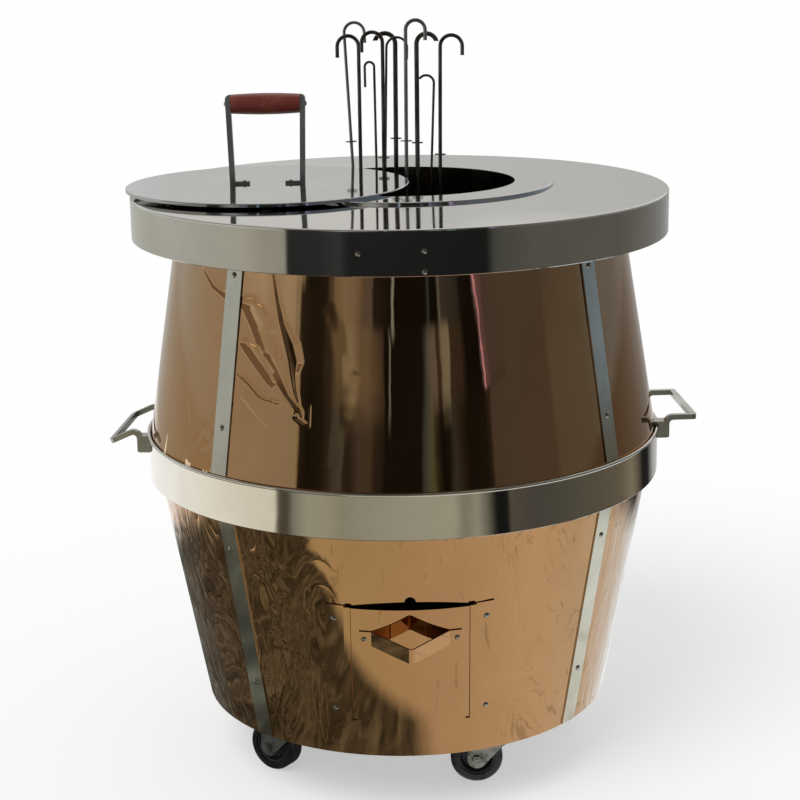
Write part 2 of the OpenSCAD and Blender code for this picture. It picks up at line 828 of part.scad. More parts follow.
tyre(3);  // tyre_4
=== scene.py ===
"""Drum tandoor: sheet-metal finishes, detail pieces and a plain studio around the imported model."""
import math

import bpy
import numpy as np
from mathutils import Euler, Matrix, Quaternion


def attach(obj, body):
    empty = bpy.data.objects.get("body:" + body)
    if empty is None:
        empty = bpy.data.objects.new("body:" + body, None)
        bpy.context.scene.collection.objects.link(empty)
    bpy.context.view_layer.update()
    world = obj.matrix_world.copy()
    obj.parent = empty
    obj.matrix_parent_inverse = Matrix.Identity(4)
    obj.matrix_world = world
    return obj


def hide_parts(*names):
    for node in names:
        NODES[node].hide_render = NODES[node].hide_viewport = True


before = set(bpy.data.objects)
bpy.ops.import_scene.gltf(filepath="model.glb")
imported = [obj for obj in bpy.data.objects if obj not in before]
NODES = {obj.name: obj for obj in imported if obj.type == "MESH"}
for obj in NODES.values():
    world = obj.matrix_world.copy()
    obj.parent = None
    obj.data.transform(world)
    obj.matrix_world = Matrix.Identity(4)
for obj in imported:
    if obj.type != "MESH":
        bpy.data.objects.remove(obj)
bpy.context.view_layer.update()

TAU = 2 * math.pi


# ---------------------------------------------------------------- node helpers
def srgb(hexa):
    """Display colour written as six hex digits, turned into linear RGBA."""
    c = np.array([int(hexa[i:i + 2], 16) for i in (0, 2, 4)]) / 255
    lin = np.where(c <= 0.04045, c / 12.92, ((c + 0.055) / 1.055) ** 2.4)
    return (*lin.tolist(), 1.0)


def add(tree, kind, values=None, **props):
    """A node of one kind, with its properties and plain socket values set."""
    n = tree.nodes.new(kind)
    for k, v in props.items():
        setattr(n, k, v)
    for k, v in (values or {}).items():
        n.inputs[k].default_value = v
    return n


def wire(tree, source, target):
    tree.links.new(source, target)


def feed(tree, socket, value):
    """Sets a socket to a number or colour, or links it when value is a socket."""
    if isinstance(value, bpy.types.NodeSocket):
        tree.links.new(value, socket)
    else:
        socket.default_value = value


def calc(tree, op, a, b=None, c=None, clamp=False):
    """One Math node; a, b and c are numbers or sockets."""
    n = add(tree, "ShaderNodeMath", operation=op, use_clamp=clamp)
    for i, v in enumerate((a, b, c)):
        if v is not None:
            feed(tree, n.inputs[i], v)
    return n.outputs[0]


def mix(tree, fac, a, b):
    """Colour mix of a and b; each is a colour or a socket."""
    n = add(tree, "ShaderNodeMix", data_type="RGBA")
    feed(tree, n.inputs[0], fac)
    feed(tree, n.inputs[6], a)
    feed(tree, n.inputs[7], b)
    return n.outputs[2]


def span(tree, value, lo, hi, a=0.0, b=1.0, smooth=True):
    """Maps value from lo..hi onto a..b, eased at both ends."""
    n = add(tree, "ShaderNodeMapRange", interpolation_type="SMOOTHSTEP" if smooth else "LINEAR")
    feed(tree, n.inputs[0], value)
    for i, v in enumerate((lo, hi, a, b)):
        feed(tree, n.inputs[i + 1], v)
    return n.outputs[0]


def ramp(tree, fac, stops):
    """Colour ramp; stops are (position, linear RGB or one grey level)."""
    n = add(tree, "ShaderNodeValToRGB")
    while len(n.color_ramp.elements) < len(stops):
        n.color_ramp.elements.new(0.5)
    for e, (pos, col) in zip(n.color_ramp.elements, stops):
        e.position = pos
        e.color = (*col, 1) if isinstance(col, tuple) else (col, col, col, 1)
    feed(tree, n.inputs[0], fac)
    return n.outputs[0]


def noise(tree, vector, scale, detail=3.0, rough=0.5, distortion=0.0):
    n = add(tree, "ShaderNodeTexNoise", {"Detail": detail, "Roughness": rough,
                                         "Distortion": distortion})
    feed(tree, n.inputs["Vector"], vector)
    feed(tree, n.inputs["Scale"], scale)
    return n.outputs["Fac"]


def group(name, inputs, outputs):
    """Empty shader node group with named sockets; returns tree, its input and output nodes."""
    t = bpy.data.node_groups.new(name, "ShaderNodeTree")
    for n, kind, value in inputs:
        s = t.interface.new_socket(n, in_out="INPUT", socket_type=kind)
        if value is not None:
            s.default_value = value
    for n, kind in outputs:
        t.interface.new_socket(n, in_out="OUTPUT", socket_type=kind)
    return t, t.nodes.new("NodeGroupInput"), t.nodes.new("NodeGroupOutput")


def use(tree, grp, **values):
    """Places a group; keyword names are socket names with underscores for spaces."""
    n = add(tree, "ShaderNodeGroup", node_tree=grp)
    for k, v in values.items():
        feed(tree, n.inputs[k.replace("_", " ")], v)
    return n


F, V = "NodeSocketFloat", "NodeSocketVector"


# ---------------------------------------------------------------- shared effects
def make_drum_place():
    """Turns a point into (turn round the axis x 0.4 m, height, radius), all in metres."""
    t, i, o = group("drum_place", [("Point", V, None)], [("Unrolled", V), ("Turn", F), ("Radius", F)])
    sep = add(t, "ShaderNodeSeparateXYZ")
    wire(t, i.outputs["Point"], sep.inputs[0])
    x, y, z = sep.outputs
    turn = calc(t, "ARCTAN2", x, calc(t, "MULTIPLY", y, -1.0))
    radius = calc(t, "SQRT", calc(t, "ADD", calc(t, "MULTIPLY", x, x), calc(t, "MULTIPLY", y, y)))
    com = add(t, "ShaderNodeCombineXYZ")
    wire(t, calc(t, "MULTIPLY", turn, 0.4), com.inputs[0])
    wire(t, z, com.inputs[1])
    wire(t, radius, com.inputs[2])
    wire(t, com.outputs[0], o.inputs["Unrolled"])
    wire(t, turn, o.inputs["Turn"])
    wire(t, radius, o.inputs["Radius"])
    return t


def make_rolling_waves():
    """Height of a hand-rolled sheet: long upright ridges, slanting creases and shallow dimples."""
    t, i, o = group("rolling_waves", [("Place", V, None), ("Ridges", F, 1.0), ("Creases", F, 0.0),
                                      ("Dimples", F, 0.5)], [("Height", F)])
    stretch = add(t, "ShaderNodeMapping")
    stretch.inputs["Scale"].default_value = (1.0, 0.12, 0.0)
    wire(t, i.outputs["Place"], stretch.inputs["Vector"])
    ridges = calc(t, "SUBTRACT", noise(t, stretch.outputs[0], 9.0, 2.0, 0.45, 0.3), 0.5)
    lean = add(t, "ShaderNodeMapping")
    lean.inputs["Scale"].default_value = (1.0, 0.45, 0.0)
    lean.inputs["Rotation"].default_value = (0, 0, 0.45)
    wire(t, i.outputs["Place"], lean.inputs["Vector"])
    fold = noise(t, lean.outputs[0], 13.0, 2.5, 0.5, 1.1)
    crease = calc(t, "ABSOLUTE", calc(t, "SUBTRACT", fold, 0.5))
    crease = calc(t, "POWER", calc(t, "ADD", crease, 0.0008), 0.6)
    dimple = calc(t, "SUBTRACT", noise(t, i.outputs["Place"], 26.0, 1.0, 0.4), 0.5)
    h = calc(t, "MULTIPLY", ridges, i.outputs["Ridges"])
    h = calc(t, "ADD", h, calc(t, "MULTIPLY", crease, i.outputs["Creases"]))
    h = calc(t, "ADD", h, calc(t, "MULTIPLY", calc(t, "MULTIPLY", dimple, 0.05), i.outputs["Dimples"]))
    wire(t, h, o.inputs["Height"])
    return t


def make_rolled_grain():
    """Fine mill lines along the first axis of Place, with cloudy smears."""
    t, i, o = group("rolled_grain", [("Place", V, None), ("Lines", F, 900.0)], [("Grain", F), ("Smear", F)])
    m = add(t, "ShaderNodeMapping")
    m.inputs["Scale"].default_value = (0.012, 1.0, 1.0)
    wire(t, i.outputs["Place"], m.inputs["Vector"])
    wire(t, noise(t, m.outputs[0], i.outputs["Lines"], 2.0, 0.6), o.inputs["Grain"])
    wire(t, noise(t, i.outputs["Place"], 11.0, 5.0, 0.62, 0.6), o.inputs["Smear"])
    return t


def make_grime():
    """Patches, specks and thin scratches for worn surfaces."""
    t, i, o = group("grime", [("Point", V, None), ("Size", F, 18.0)],
                    [("Patch", F), ("Specks", F), ("Scratches", F)])
    cloud = noise(t, i.outputs["Point"], i.outputs["Size"], 6.0, 0.65, 0.4)
    wire(t, span(t, cloud, 0.42, 0.68), o.inputs["Patch"])
    wire(t, span(t, noise(t, i.outputs["Point"], 420.0, 2.0, 0.5), 0.62, 0.72), o.inputs["Specks"])
    m = add(t, "ShaderNodeMapping")
    m.inputs["Rotation"].default_value = (0.4, 0.9, 0.7)
    m.inputs["Scale"].default_value = (60.0, 900.0, 900.0)
    wire(t, i.outputs["Point"], m.inputs["Vector"])
    wire(t, span(t, noise(t, m.outputs[0], 1.0, 2.0, 0.5), 0.66, 0.74), o.inputs["Scratches"])
    return t


def make_film_rest():
    """Ragged rest of backing film: 1 in torn patches that rise from Foot between two turns, else 0."""
    t, i, o = group("film_rest", [("Turn", F, 0.0), ("Place", V, None), ("Start", F, -1.2), ("End", F, -0.7),
                                  ("Foot", F, 0.53), ("Tall", F, 0.02)], [("Film", F)])
    sep = add(t, "ShaderNodeSeparateXYZ")
    wire(t, i.outputs["Place"], sep.inputs[0])
    up = calc(t, "DIVIDE", calc(t, "SUBTRACT", sep.outputs[1], i.outputs["Foot"]), i.outputs["Tall"])
    flat = add(t, "ShaderNodeMapping")
    flat.inputs["Scale"].default_value = (1.0, 0.35, 0.0)
    wire(t, i.outputs["Place"], flat.inputs["Vector"])
    torn = noise(t, flat.outputs[0], 34.0, 3.0, 0.5, 0.4)
    edge = calc(t, "SUBTRACT", calc(t, "MULTIPLY", calc(t, "SUBTRACT", torn, 0.47), 9.0), up)
    inside = calc(t, "MULTIPLY", calc(t, "GREATER_THAN", i.outputs["Turn"], i.outputs["Start"]),
                  calc(t, "LESS_THAN", i.outputs["Turn"], i.outputs["End"]))
    wire(t, calc(t, "MULTIPLY", inside, span(t, edge, 0.0, 0.12)), o.inputs["Film"])
    return t


DRUM_PLACE = make_drum_place()
WAVES = make_rolling_waves()
GRAIN = make_rolled_grain()
GRIME = make_grime()
FILM = make_film_rest()


# ---------------------------------------------------------------- materials
def material(name):
    """New material with a Principled shader and the object's own coordinates."""
    m = bpy.data.materials.new(name)
    m.use_nodes = True
    t = m.node_tree
    t.nodes.clear()
    out = add(t, "ShaderNodeOutputMaterial")
    p = add(t, "ShaderNodeBsdfPrincipled")
    wire(t, p.outputs[0], out.inputs[0])
    co = add(t, "ShaderNodeTexCoord")
    return m, t, p, co.outputs["Object"]


def bump(tree, p, height, depth):
    """Bump of a given depth in metres feeding the shader's normal."""
    b = add(tree, "ShaderNodeBump", {"Strength": 1.0, "Distance": depth})
    feed(tree, b.inputs["Height"], height)
    wire(tree, b.outputs[0], p.inputs["Normal"])


def brass_sheet(name, ridges, creases, dimples, depth, film=False):
    """Mirror brass-coloured sheet: hand-rolled waves, faint smears and tarnish, torn film at the belt."""
    m, t, p, point = material(name)
    place = use(t, DRUM_PLACE, Point=point)
    crumpled = calc(t, "MAXIMUM", span(t, place.outputs["Turn"], -0.22, -0.50, 0.06, 1.0),
                    span(t, place.outputs["Turn"], 0.28, 0.45, 0.06, 0.55))
    waves = use(t, WAVES, Place=place.outputs["Unrolled"], Ridges=ridges, Dimples=dimples,
                Creases=calc(t, "MULTIPLY", crumpled, creases))
    grain = use(t, GRAIN, Place=place.outputs["Unrolled"])
    grime = use(t, GRIME, Point=point, Size=9.0)
    tone = mix(t, grain.outputs["Smear"], srgb("a97f56"), srgb("b0895f"))
    tone = mix(t, calc(t, "MULTIPLY", grime.outputs["Patch"], 0.2), tone, srgb("98744f"))
    tone = mix(t, calc(t, "MULTIPLY", grime.outputs["Scratches"], 0.25), tone, srgb("c8a680"))
    rough = span(t, grain.outputs["Smear"], 0.3, 0.8, 0.012, 0.05)
    h = calc(t, "ADD", waves.outputs[0], calc(t, "MULTIPLY", grain.outputs["Grain"], 0.0003))
    if film:
        torn = 0.0
        for start, end, tall in ((-68, -64, 0.022), (-54, -44, 0.018)):
            rest = use(t, FILM, Turn=place.outputs["Turn"], Place=place.outputs["Unrolled"],
                       Start=math.radians(start), End=math.radians(end), Tall=tall)
            torn = calc(t, "MAXIMUM", torn, rest.outputs["Film"])
        tone = mix(t, torn, tone, srgb("ecd2ae"))
        wire(t, calc(t, "SUBTRACT", 1.0, torn), p.inputs["Metallic"])
        rough = calc(t, "ADD", rough, calc(t, "MULTIPLY", torn, 0.6))
        h = calc(t, "ADD", h, calc(t, "MULTIPLY", torn, 0.1))
    else:
        p.inputs["Metallic"].default_value = 1.0
    wire(t, tone, p.inputs["Base Color"])
    wire(t, rough, p.inputs["Roughness"])
    bump(t, p, h, depth)
    return m


def steel_sheet(name, tone, dark, rough, waves_depth=0.0, ridges=1.0, dimples=1.0, flat=False):
    """Bright rolled stainless sheet with mill lines, smears and fine scratches."""
    m, t, p, point = material(name)
    place = point if flat else use(t, DRUM_PLACE, Point=point).outputs["Unrolled"]
    grain = use(t, GRAIN, Place=place)
    grime = use(t, GRIME, Point=point, Size=14.0)
    col = mix(t, grain.outputs["Smear"], srgb(tone), srgb(dark))
    col = mix(t, calc(t, "MULTIPLY", grime.outputs["Patch"], 0.25), col, srgb(dark))
    col = mix(t, calc(t, "MULTIPLY", grime.outputs["Specks"], 0.15), col, srgb("6c665c"))
    wire(t, col, p.inputs["Base Color"])
    p.inputs["Metallic"].default_value = 1.0
    r = span(t, grain.outputs["Smear"], 0.3, 0.75, rough * 0.75, rough * 1.3)
    wire(t, calc(t, "ADD", r, calc(t, "MULTIPLY", grime.outputs["Scratches"], 0.04)), p.inputs["Roughness"])
    waves = use(t, WAVES, Place=place, Ridges=ridges, Creases=0.0, Dimples=dimples)
    h = calc(t, "ADD", calc(t, "MULTIPLY", waves.outputs[0], waves_depth / 0.001),
             calc(t, "MULTIPLY", grain.outputs["Grain"], 0.002))
    bump(t, p, h, 0.001)
    return m


def plated_steel():
    """Zinc-plated pressings: dull mottled grey with dark dust."""
    m, t, p, point = material("plated_steel")
    grime = use(t, GRIME, Point=point, Size=60.0)
    col = mix(t, noise(t, point, 240.0, 3.0), srgb("77786f"), srgb("96978f"))
    col = mix(t, calc(t, "MULTIPLY", grime.outputs["Patch"], 0.65), col, srgb("45443c"))
    wire(t, col, p.inputs["Base Color"])
    p.inputs["Metallic"].default_value = 0.85
    wire(t, span(t, grime.outputs["Patch"], 0.0, 1.0, 0.36, 0.58), p.inputs["Roughness"])
    bump(t, p, noise(t, point, 380.0, 2.0), 0.0002)
    return m


def skewer_steel(name, pale, dark, amount):
    """Drawn rod, browned in long soft patches and blackened toward its lower half."""
    m, t, p, point = material(name)
    sep = add(t, "ShaderNodeSeparateXYZ")
    wire(t, point, sep.inputs[0])
    burn = span(t, sep.outputs[2], 0.93, 0.60, 0.0, 1.0)
    stretch = add(t, "ShaderNodeMapping")
    stretch.inputs["Scale"].default_value = (1.0, 1.0, 0.16)
    wire(t, point, stretch.inputs["Vector"])
    patch = span(t, noise(t, stretch.outputs[0], 95.0, 3.0, 0.55), 0.38, 0.66)
    col = mix(t, calc(t, "MULTIPLY", patch, amount), srgb(pale), srgb(dark))
    col = mix(t, burn, col, srgb("1c1714"))
    wire(t, col, p.inputs["Base Color"])
    p.inputs["Metallic"].default_value = 1.0
    wire(t, calc(t, "ADD", span(t, patch, 0.0, 1.0, 0.20, 0.36), calc(t, "MULTIPLY", burn, 0.25)),
         p.inputs["Roughness"])
    bump(t, p, noise(t, stretch.outputs[0], 700.0, 2.0), 0.00006)
    return m


def fired_clay():
    """Coarse red clay with soot and hairline cracks."""
    m, t, p, point = material("fired_clay")
    body = noise(t, point, 30.0, 6.0, 0.65)
    cracks = add(t, "ShaderNodeTexVoronoi", {"Scale": 22.0}, feature="DISTANCE_TO_EDGE")
    wire(t, point, cracks.inputs["Vector"])
    line = span(t, cracks.outputs["Distance"], 0.0, 0.02, 1.0, 0.0)
    col = mix(t, body, srgb("3a221a"), srgb("6b402e"))
    col = mix(t, span(t, noise(t, point, 5.0, 3.0), 0.35, 0.62), col, srgb("15100e"))
    col = mix(t, calc(t, "MULTIPLY", line, 0.5), col, srgb("0c0908"))
    wire(t, col, p.inputs["Base Color"])
    p.inputs["Roughness"].default_value = 0.92
    bump(t, p, calc(t, "SUBTRACT", body, calc(t, "MULTIPLY", line, 0.4)), 0.002)
    return m


def packing():
    """Mineral packing: matted fibres."""
    m, t, p, point = material("packing")
    stretch = add(t, "ShaderNodeMapping")
    stretch.inputs["Scale"].default_value = (1.0, 1.0, 6.0)
    wire(t, point, stretch.inputs["Vector"])
    fibre = noise(t, stretch.outputs[0], 90.0, 6.0, 0.7, 1.5)
    wire(t, mix(t, fibre, srgb("a89c78"), srgb("dcd2b0")), p.inputs["Base Color"])
    p.inputs["Roughness"].default_value = 0.95
    bump(t, p, fibre, 0.003)
    return m


def slab_stone():
    """Cast refractory: grey with coarse aggregate."""
    m, t, p, point = material("refractory")
    v = add(t, "ShaderNodeTexVoronoi", {"Scale": 120.0})
    wire(t, point, v.inputs["Vector"])
    wire(t, mix(t, v.outputs["Distance"], srgb("a7a093"), srgb("6e685d")), p.inputs["Base Color"])
    p.inputs["Roughness"].default_value = 0.9
    bump(t, p, v.outputs["Distance"], 0.001)
    return m


def varnished_grip():
    """Turned hardwood under red-brown varnish, faint grain running along the grip, tan where it is worn."""
    m, t, p, point = material("varnished_grip")
    along = add(t, "ShaderNodeMapping")
    along.inputs["Scale"].default_value = (0.08, 1.0, 1.0)
    wire(t, point, along.inputs["Vector"])
    grain = noise(t, along.outputs[0], 240.0, 4.0, 0.55, 0.8)
    col = mix(t, grain, srgb("54211a"), srgb("6d2d20"))
    wear = use(t, GRIME, Point=point, Size=40.0)
    col = mix(t, calc(t, "MULTIPLY", wear.outputs["Patch"], 0.25), col, srgb("8a4a30"))
    wire(t, col, p.inputs["Base Color"])
    wire(t, span(t, wear.outputs["Patch"], 0.0, 1.0, 0.22, 0.42), p.inputs["Roughness"])
    p.inputs["Coat Weight"].default_value = 0.35
    p.inputs["Coat Roughness"].default_value = 0.2
    bump(t, p, grain, 0.00012)
    return m


def tyre_rubber():
    """Solid black rubber with dust in its scuffs."""
    m, t, p, point = material("tyre_rubber")
    grime = use(t, GRIME, Point=point, Size=40.0)
    col = mix(t, calc(t, "MULTIPLY", grime.outputs["Patch"], 0.5), srgb("0f0f10"), srgb("2b2925"))
    col = mix(t, calc(t, "MULTIPLY", grime.outputs["Scratches"], 0.3), col, srgb("45423c"))
    wire(t, col, p.inputs["Base Color"])
    wire(t, span(t, grime.outputs["Patch"], 0.0, 1.0, 0.45, 0.75), p.inputs["Roughness"])
    bump(t, p, noise(t, point, 500.0, 3.0), 0.0003)
    return m


def cast_hub():
    """Dark cast hub with a sandy skin."""
    m, t, p, point = material("cast_hub")
    grime = use(t, GRIME, Point=point, Size=50.0)
    col = mix(t, calc(t, "MULTIPLY", grime.outputs["Patch"], 0.6), srgb("3a3b3c"), srgb("232120"))
    wire(t, col, p.inputs["Base Color"])
    p.inputs["Metallic"].default_value = 0.5
    wire(t, span(t, grime.outputs["Patch"], 0.0, 1.0, 0.45, 0.65), p.inputs["Roughness"])
    bump(t, p, noise(t, point, 650.0, 3.0, 0.7), 0.0004)
    return m


FINISH = {
    "upper": brass_sheet("brass_upper_sheet", 0.12, 0.0, 0.4, 0.004, film=True),
    "lower": brass_sheet("brass_lower_sheet", 0.6, 0.8, 0.9, 0.004),
    "door": brass_sheet("brass_door_sheet", 0.25, 0.0, 0.5, 0.002),
    "skirt": steel_sheet("steel_skirt", "d2d0ca", "bfbcb3", 0.07, 0.0005),
    "belt": steel_sheet("steel_belt", "d2cfc6", "c0bbaf", 0.07, 0.0010, dimples=2.0),
    "deck": steel_sheet("steel_deck", "dedcd4", "cfccc4", 0.06, 0.0005, flat=True),
    "lid": steel_sheet("steel_lid", "c2c4c2", "b4b6b2", 0.06, 0.0004, flat=True),
    "strap": steel_sheet("steel_strap", "cdc6b2", "aaa391", 0.13, 0.0008),
    "bar": steel_sheet("steel_bar", "c6c6bc", "96968c", 0.30, flat=True),
    "rivet": steel_sheet("steel_rivet", "a8a49a", "7c776c", 0.16, flat=True),
    "plated": plated_steel(),
    "rod": skewer_steel("browned_rod", "77716a", "3d3732", 0.8),
    "bright_rod": skewer_steel("bright_rod", "a9a7a0", "7b766e", 0.5),
    "clay": fired_clay(),
    "packing": packing(),
    "slab": slab_stone(),
    "grip": varnished_grip(),
    "rubber": tyre_rubber(),
    "hub": cast_hub(),
}


def finish_of(name):
    """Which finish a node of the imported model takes."""
    rules = (("upper_cladding", "upper"), ("lower_cladding", "lower"), ("draught_door", "door"),
             ("door_guide", "door"), ("door_pull_strap", "door"), ("rim_skirt", "skirt"),
             ("belly_belt", "belt"), ("top_deck", "deck"), ("mouth_ring", "deck"), ("mouth_throat", "strap"),
             ("lid_plate", "lid"), ("lid_grip", "grip"), ("lid_", "bar"), ("side_handle", "bar"),
             ("upper_straps", "strap"), ("lower_straps", "strap"), ("strap_rivets", "rivet"),
             ("skirt_rivets", "rivet"), ("guide_rivets", "rivet"), ("door_rivets", "rivet"),
             ("skewer_01", "bright_rod"), ("skewer_07", "bright_rod"), ("skewer", "rod"),
             ("clay_pot", "clay"), ("insulation", "packing"),
             ("hearth_slab", "slab"), ("tyre", "rubber"), ("wheel_hub", "hub"), ("castor", "plated"),
             ("base_plate", "plated"), ("belly_hoop", "plated"), ("draught_duct", "plated"), ("", "strap"))
    return next(finish for start, finish in rules if name.startswith(start))


def paint(obj, finish):
    """Puts one material on the object's own slots."""
    if not obj.material_slots:
        obj.data.materials.append(None)
    for s in obj.material_slots:
        s.link = "OBJECT"
        s.material = finish


for name, obj in NODES.items():
    paint(obj, FINISH[finish_of(name)])


# ---------------------------------------------------------------- detail pieces
def solid(name, points, faces):
    """Mesh object from whole arrays of points and four-cornered faces."""
    me = bpy.data.meshes.new(name)
    me.from_pydata(points.tolist(), [], faces.tolist())
    me.update()
    o = bpy.data.objects.new(name, me)
    bpy.context.scene.collection.objects.link(o)
    me.polygons.foreach_set("use_smooth", np.ones(len(me.polygons), bool))
    return o


def fit(obj, finish, body, slot, *instead):
    """Gives a new piece its finish, the body it rides and the nodes it stands for; slot is not used."""
    obj.data.materials.append(FINISH[finish])
    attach(obj, body)
    if instead:
        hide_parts(*instead)


def end_rings(node):
    """Radius and height of a cone node's outer side at its lower and upper end."""
    me = NODES[node].data
    co = np.empty(len(me.vertices) * 3)
    me.vertices.foreach_get("co", co)
    co = co.reshape(-1, 3)
    r, z = np.hypot(co[:, 0], co[:, 1]), co[:, 2]
    return [(r[np.abs(z - e) < 1e-4].max(), e) for e in (z.min(), z.max())]


def runs(*spans):
    """Evenly spaced values over runs given as (start, end, count), each without its end."""
    return np.concatenate([np.linspace(*v, endpoint=False) for v in spans])


def ease(v, lo, hi):
    """0 below lo, 1 above hi, 3v^2 - 2v^3 between."""
    v = np.clip((v - lo) / (hi - lo), 0, 1)
    return v * v * (3 - 2 * v)


# Deepest drop of the hand-rolled sheet and the skin's thickness in m, and the left seam strap's turn
DEEPEST = 0.0024
SKIN = 0.0034
LEFT_STRAP = -41.5
# Creases of the upper cladding as lines of (height in m, turn in degrees, width of the sloping side
# in mm); then the slope of that side, how many widths the way back out takes, and which side slopes
# (1 right, -1 left)
CREASES = [
    ([(0.628, -22.1, 3), (0.634, -22.7, 4), (0.655, -26.2, 6), (0.682, -29.6, 11), (0.707, -32.9, 17),
      (0.740, -35.8, 19), (0.762, -38.4, 21), (0.775, -39.8, 20)], 0.22, 0.7, 1),
    ([(0.634, -22.3, 2), (0.665, -24.0, 4), (0.685, -24.9, 7), (0.701, -25.4, 12), (0.726, -26.8, 13),
      (0.754, -28.4, 8), (0.784, -29.7, 6), (0.820, -31.0, 4)], 0.19, 0.7, 1),
    ([(0.667, -30.4, 6), (0.683, -33.2, 12), (0.719, -39.6, 15)], 0.14, 0.7, 1),
    ([(0.643, -29.2, 3), (0.648, -32.8, 3.5), (0.663, -35.9, 4), (0.676, -39.6, 4)], 0.22, 1.2, 1),
    ([(0.769, -42.3, 9), (0.777, -45.7, 9), (0.787, -50.4, 8), (0.811, -55.7, 6)], 0.18, 1.2, 1),
    ([(0.617, -19.6, 3), (0.628, -22.1, 4)], 0.16, 1.5, -1),
    ([(0.617, -19.6, 2), (0.640, -19.6, 2)], 0.16, 2.0, -1),
    ([(0.685, -9.0, 8), (0.735, -12.2, 9), (0.775, -14.7, 9)], 0.022, 1.5, -1),
    ([(0.560, -13.2, 9), (0.620, -11.3, 9), (0.685, -9.0, 8)], 0.022, 1.5, -1)]


def crease(turn, z, r, line, slope, back, side):
    """Depth of one crease: a tent over u, up from 0 to slope * width at u = width and back to 0 over
    back * width, with u measured across the line at each height and the corners rounded."""
    zs, ts, ws = (np.array(v, float) for v in zip(*line))
    rows = z[:, 0]
    t0 = np.interp(rows, zs, ts)[:, None]
    w = np.interp(rows, zs, ws)[:, None] / 1000
    lean = np.radians(np.gradient(t0[:, 0], rows))[:, None] * r
    u = side * np.radians(turn - t0) * r / np.sqrt(1 + lean * lean)

    def tent(q):
        return np.clip(np.minimum(q, 1 + (1 - q) / back), 0, 1)

    shape = sum(tent(u / w * k + e) for k, e in ((1.0, -0.05), (1.0, 0.05), (1.1, 0.0), (0.88, 0.0))) / 4
    ends = ease(rows, zs[0] - 0.006, zs[0] + 0.006) * (1 - ease(rows, zs[-1] - 0.004, zs[-1] + 0.012))
    return slope * w * shape * ends[:, None]


def upper_skin():
    """Upper cladding as hand-rolled sheet.
    radius = cone(z) - d / (1 + (d / L)^3)^(1/3), where L is DEEPEST and
    d = sum of amp (1 + cos(n a + drift h + k)) / 2 over four upright ridge waves, which fade by half
    toward the belt, + the creases + small crinkles beside them. The drop is cut to a quarter under
    the left seam strap. The inner side is the cone moved in by SKIN."""
    (r0, z0), (r1, z1) = end_rings("upper_cladding")
    turn = runs((-180, -62, 130), (-62, -46, 60), (-46, -18, 200), (-18, 180, 230))
    zs = np.append(runs((z0, 0.60, 22), (0.60, 0.83, 112)), np.linspace(0.83, z1, 9))
    turn, z = np.meshgrid(turn, zs)
    a = np.radians(turn)
    h = (z - z0) / (z1 - z0)
    r = r0 + (r1 - r0) * h
    d = sum(amp / 2000 * (1 + np.cos(n * a + drift * h + k)) * (0.5 + 0.5 * h) for n, amp, drift, k in
            ((14, 0.30, 1.1, 0.4), (23, 0.18, -1.7, 2.2), (37, 0.10, 2.6, 4.0), (51, 0.05, -3.9, 1.0)))
    for line in CREASES:
        d = d + crease(turn, z, r, *line)
    rng = np.random.default_rng(7)
    for _ in range(16):
        c, m, lean = rng.uniform(-64, -26), rng.uniform(0.55, 0.64), rng.uniform(-260, 160)
        e, w = m + rng.uniform(0.015, 0.04), rng.uniform(2, 5)
        d = d + crease(turn, z, r, [(m, c, w), (e, c + lean * (e - m), w)], rng.uniform(0.03, 0.07), 1.5, 1)
    d = d / np.cbrt(1 + (d / DEEPEST) ** 3)
    d = d * (1 - 0.75 * np.exp(-((turn - LEFT_STRAP) / 1.7) ** 2))
    outer = np.stack([(r - d) * np.sin(a), -(r - d) * np.cos(a), z], -1)
    inner = np.stack([(r - SKIN) * np.sin(a), -(r - SKIN) * np.cos(a), z], -1)[[-1, 0]]
    grid = np.concatenate([outer, inner])
    m, n = grid.shape[:2]
    i, j = np.meshgrid(np.arange(m), np.arange(n), indexing="ij")
    i2, j2 = (i + 1) % m, (j + 1) % n
    faces = np.stack([i * n + j, i * n + j2, i2 * n + j2, i2 * n + j], -1).reshape(-1, 4)
    o = solid("upper_cladding_skin", grid.reshape(-1, 3), faces)
    fit(o, "upper", "cabinet", "brass_sheet", "upper_cladding")


upper_skin()


# ---------------------------------------------------------------- stage, light and camera
FRONT = (-52, 48)
EDGE_SPAN = (28, 48)


def at(deg, start=-180, end=180):
    """Place of a compass turn on a ramp that runs from start to end degrees."""
    return (deg - start) / (end - start)


# What a mirror sees round the object, as (turn in degrees, grey level or linear RGB); 0 is the front,
# positive turns are to the right. Most stops are measured readings, thinned and rounded, and SKY was
# steered by such readings; that is an open fault.
AROUND_LOW = [(-180, 0.5), (-150, 0.45), (-134, (0.62, 0.74, 0.80)), (-108, (0.63, 0.70, 0.77)),
              (-96, (0.62, 0.68, 0.74)), (-80, (0.62, 0.65, 0.70)), (-52, (0.57, 0.60, 0.65)),
              (46, (0.14, 0.15, 0.17)), (69, (0.15, 0.15, 0.17)), (72, (0.20, 0.21, 0.23)),
              (92, (0.20, 0.23, 0.25)), (104, (0.25, 0.32, 0.42)), (113, (0.28, 0.36, 0.48)),
              (122, (0.27, 0.34, 0.42)), (150, 0.38), (180, 0.5)]
AROUND_HIGH = [(-180, 0.55), (-150, 0.6), (-130, (0.84, 0.95, 1.02)), (-108, (0.90, 1.0, 1.06)),
               (-70, (0.88, 0.98, 1.10)), (-64, (0.64, 0.67, 0.72)), (-57, (0.74, 0.80, 0.88)),
               (-52, (0.66, 0.71, 0.80)), (46, (0.14, 0.16, 0.19)), (92, (0.14, 0.165, 0.21)),
               (103, (0.14, 0.18, 0.24)), (122, (0.20, 0.24, 0.31)), (134, (0.26, 0.33, 0.45)),
               (152, 0.45), (180, 0.55)]
